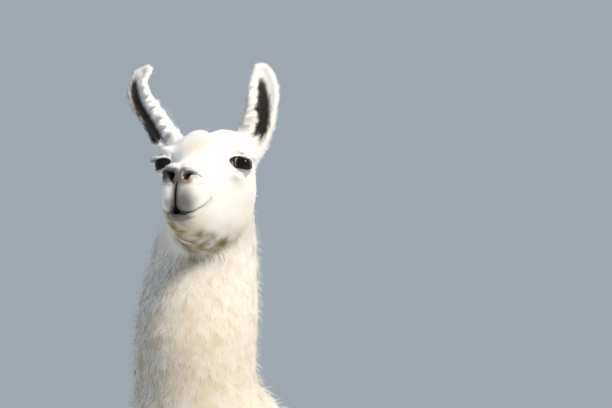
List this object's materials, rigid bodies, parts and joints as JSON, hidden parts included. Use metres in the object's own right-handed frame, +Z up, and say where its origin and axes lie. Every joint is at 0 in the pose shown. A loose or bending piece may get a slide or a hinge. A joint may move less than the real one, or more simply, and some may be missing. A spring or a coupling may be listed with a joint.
{
  "type": "standing llama",
  "caption": "Life-size still model of a standing white llama, head raised and turned a little to its left, woolly body, split-toed feet flat on the floor.",
  "frame": {"origin": "centre of the animal's box in plan, on the floor under the soles", "axes": "+Z up, the llama faces -Y with its tail towards +Y, and its left side is +X"},
  "size_m": [0.4906, 1.4132, 1.8314],
  "materials": {
    "coat": "white to cream llama wool, long and woolly on neck and body, short on face and legs",
    "eye": "wet, dark brown-black",
    "nail": "dark grey-brown horn, worn satin"
  },
  "bodies": {
    "root": {"head": "coat", "lower_jaw": "coat", "ear_left": "coat", "ear_right": "coat", "neck_upper": "coat", "neck_lower": "coat", "trunk": "coat", "tail": "coat", "fore_left_upper": "coat", "fore_left_lower": "coat", "fore_left_foot": "coat", "fore_right_upper": "coat", "fore_right_lower": "coat", "fore_right_foot": "coat", "hind_left_upper": "coat", "hind_left_lower": "coat", "hind_left_foot": "coat", "hind_right_upper": "coat", "hind_right_lower": "coat", "hind_right_foot": "coat", "eye_left": "eye", "eye_right": "eye", "nail_fore_left_outer": "nail", "nail_fore_left_inner": "nail", "nail_fore_right_outer": "nail", "nail_fore_right_inner": "nail", "nail_hind_left_outer": "nail", "nail_hind_left_inner": "nail", "nail_hind_right_outer": "nail", "nail_hind_right_inner": "nail"}
  },
  "joints": []
}
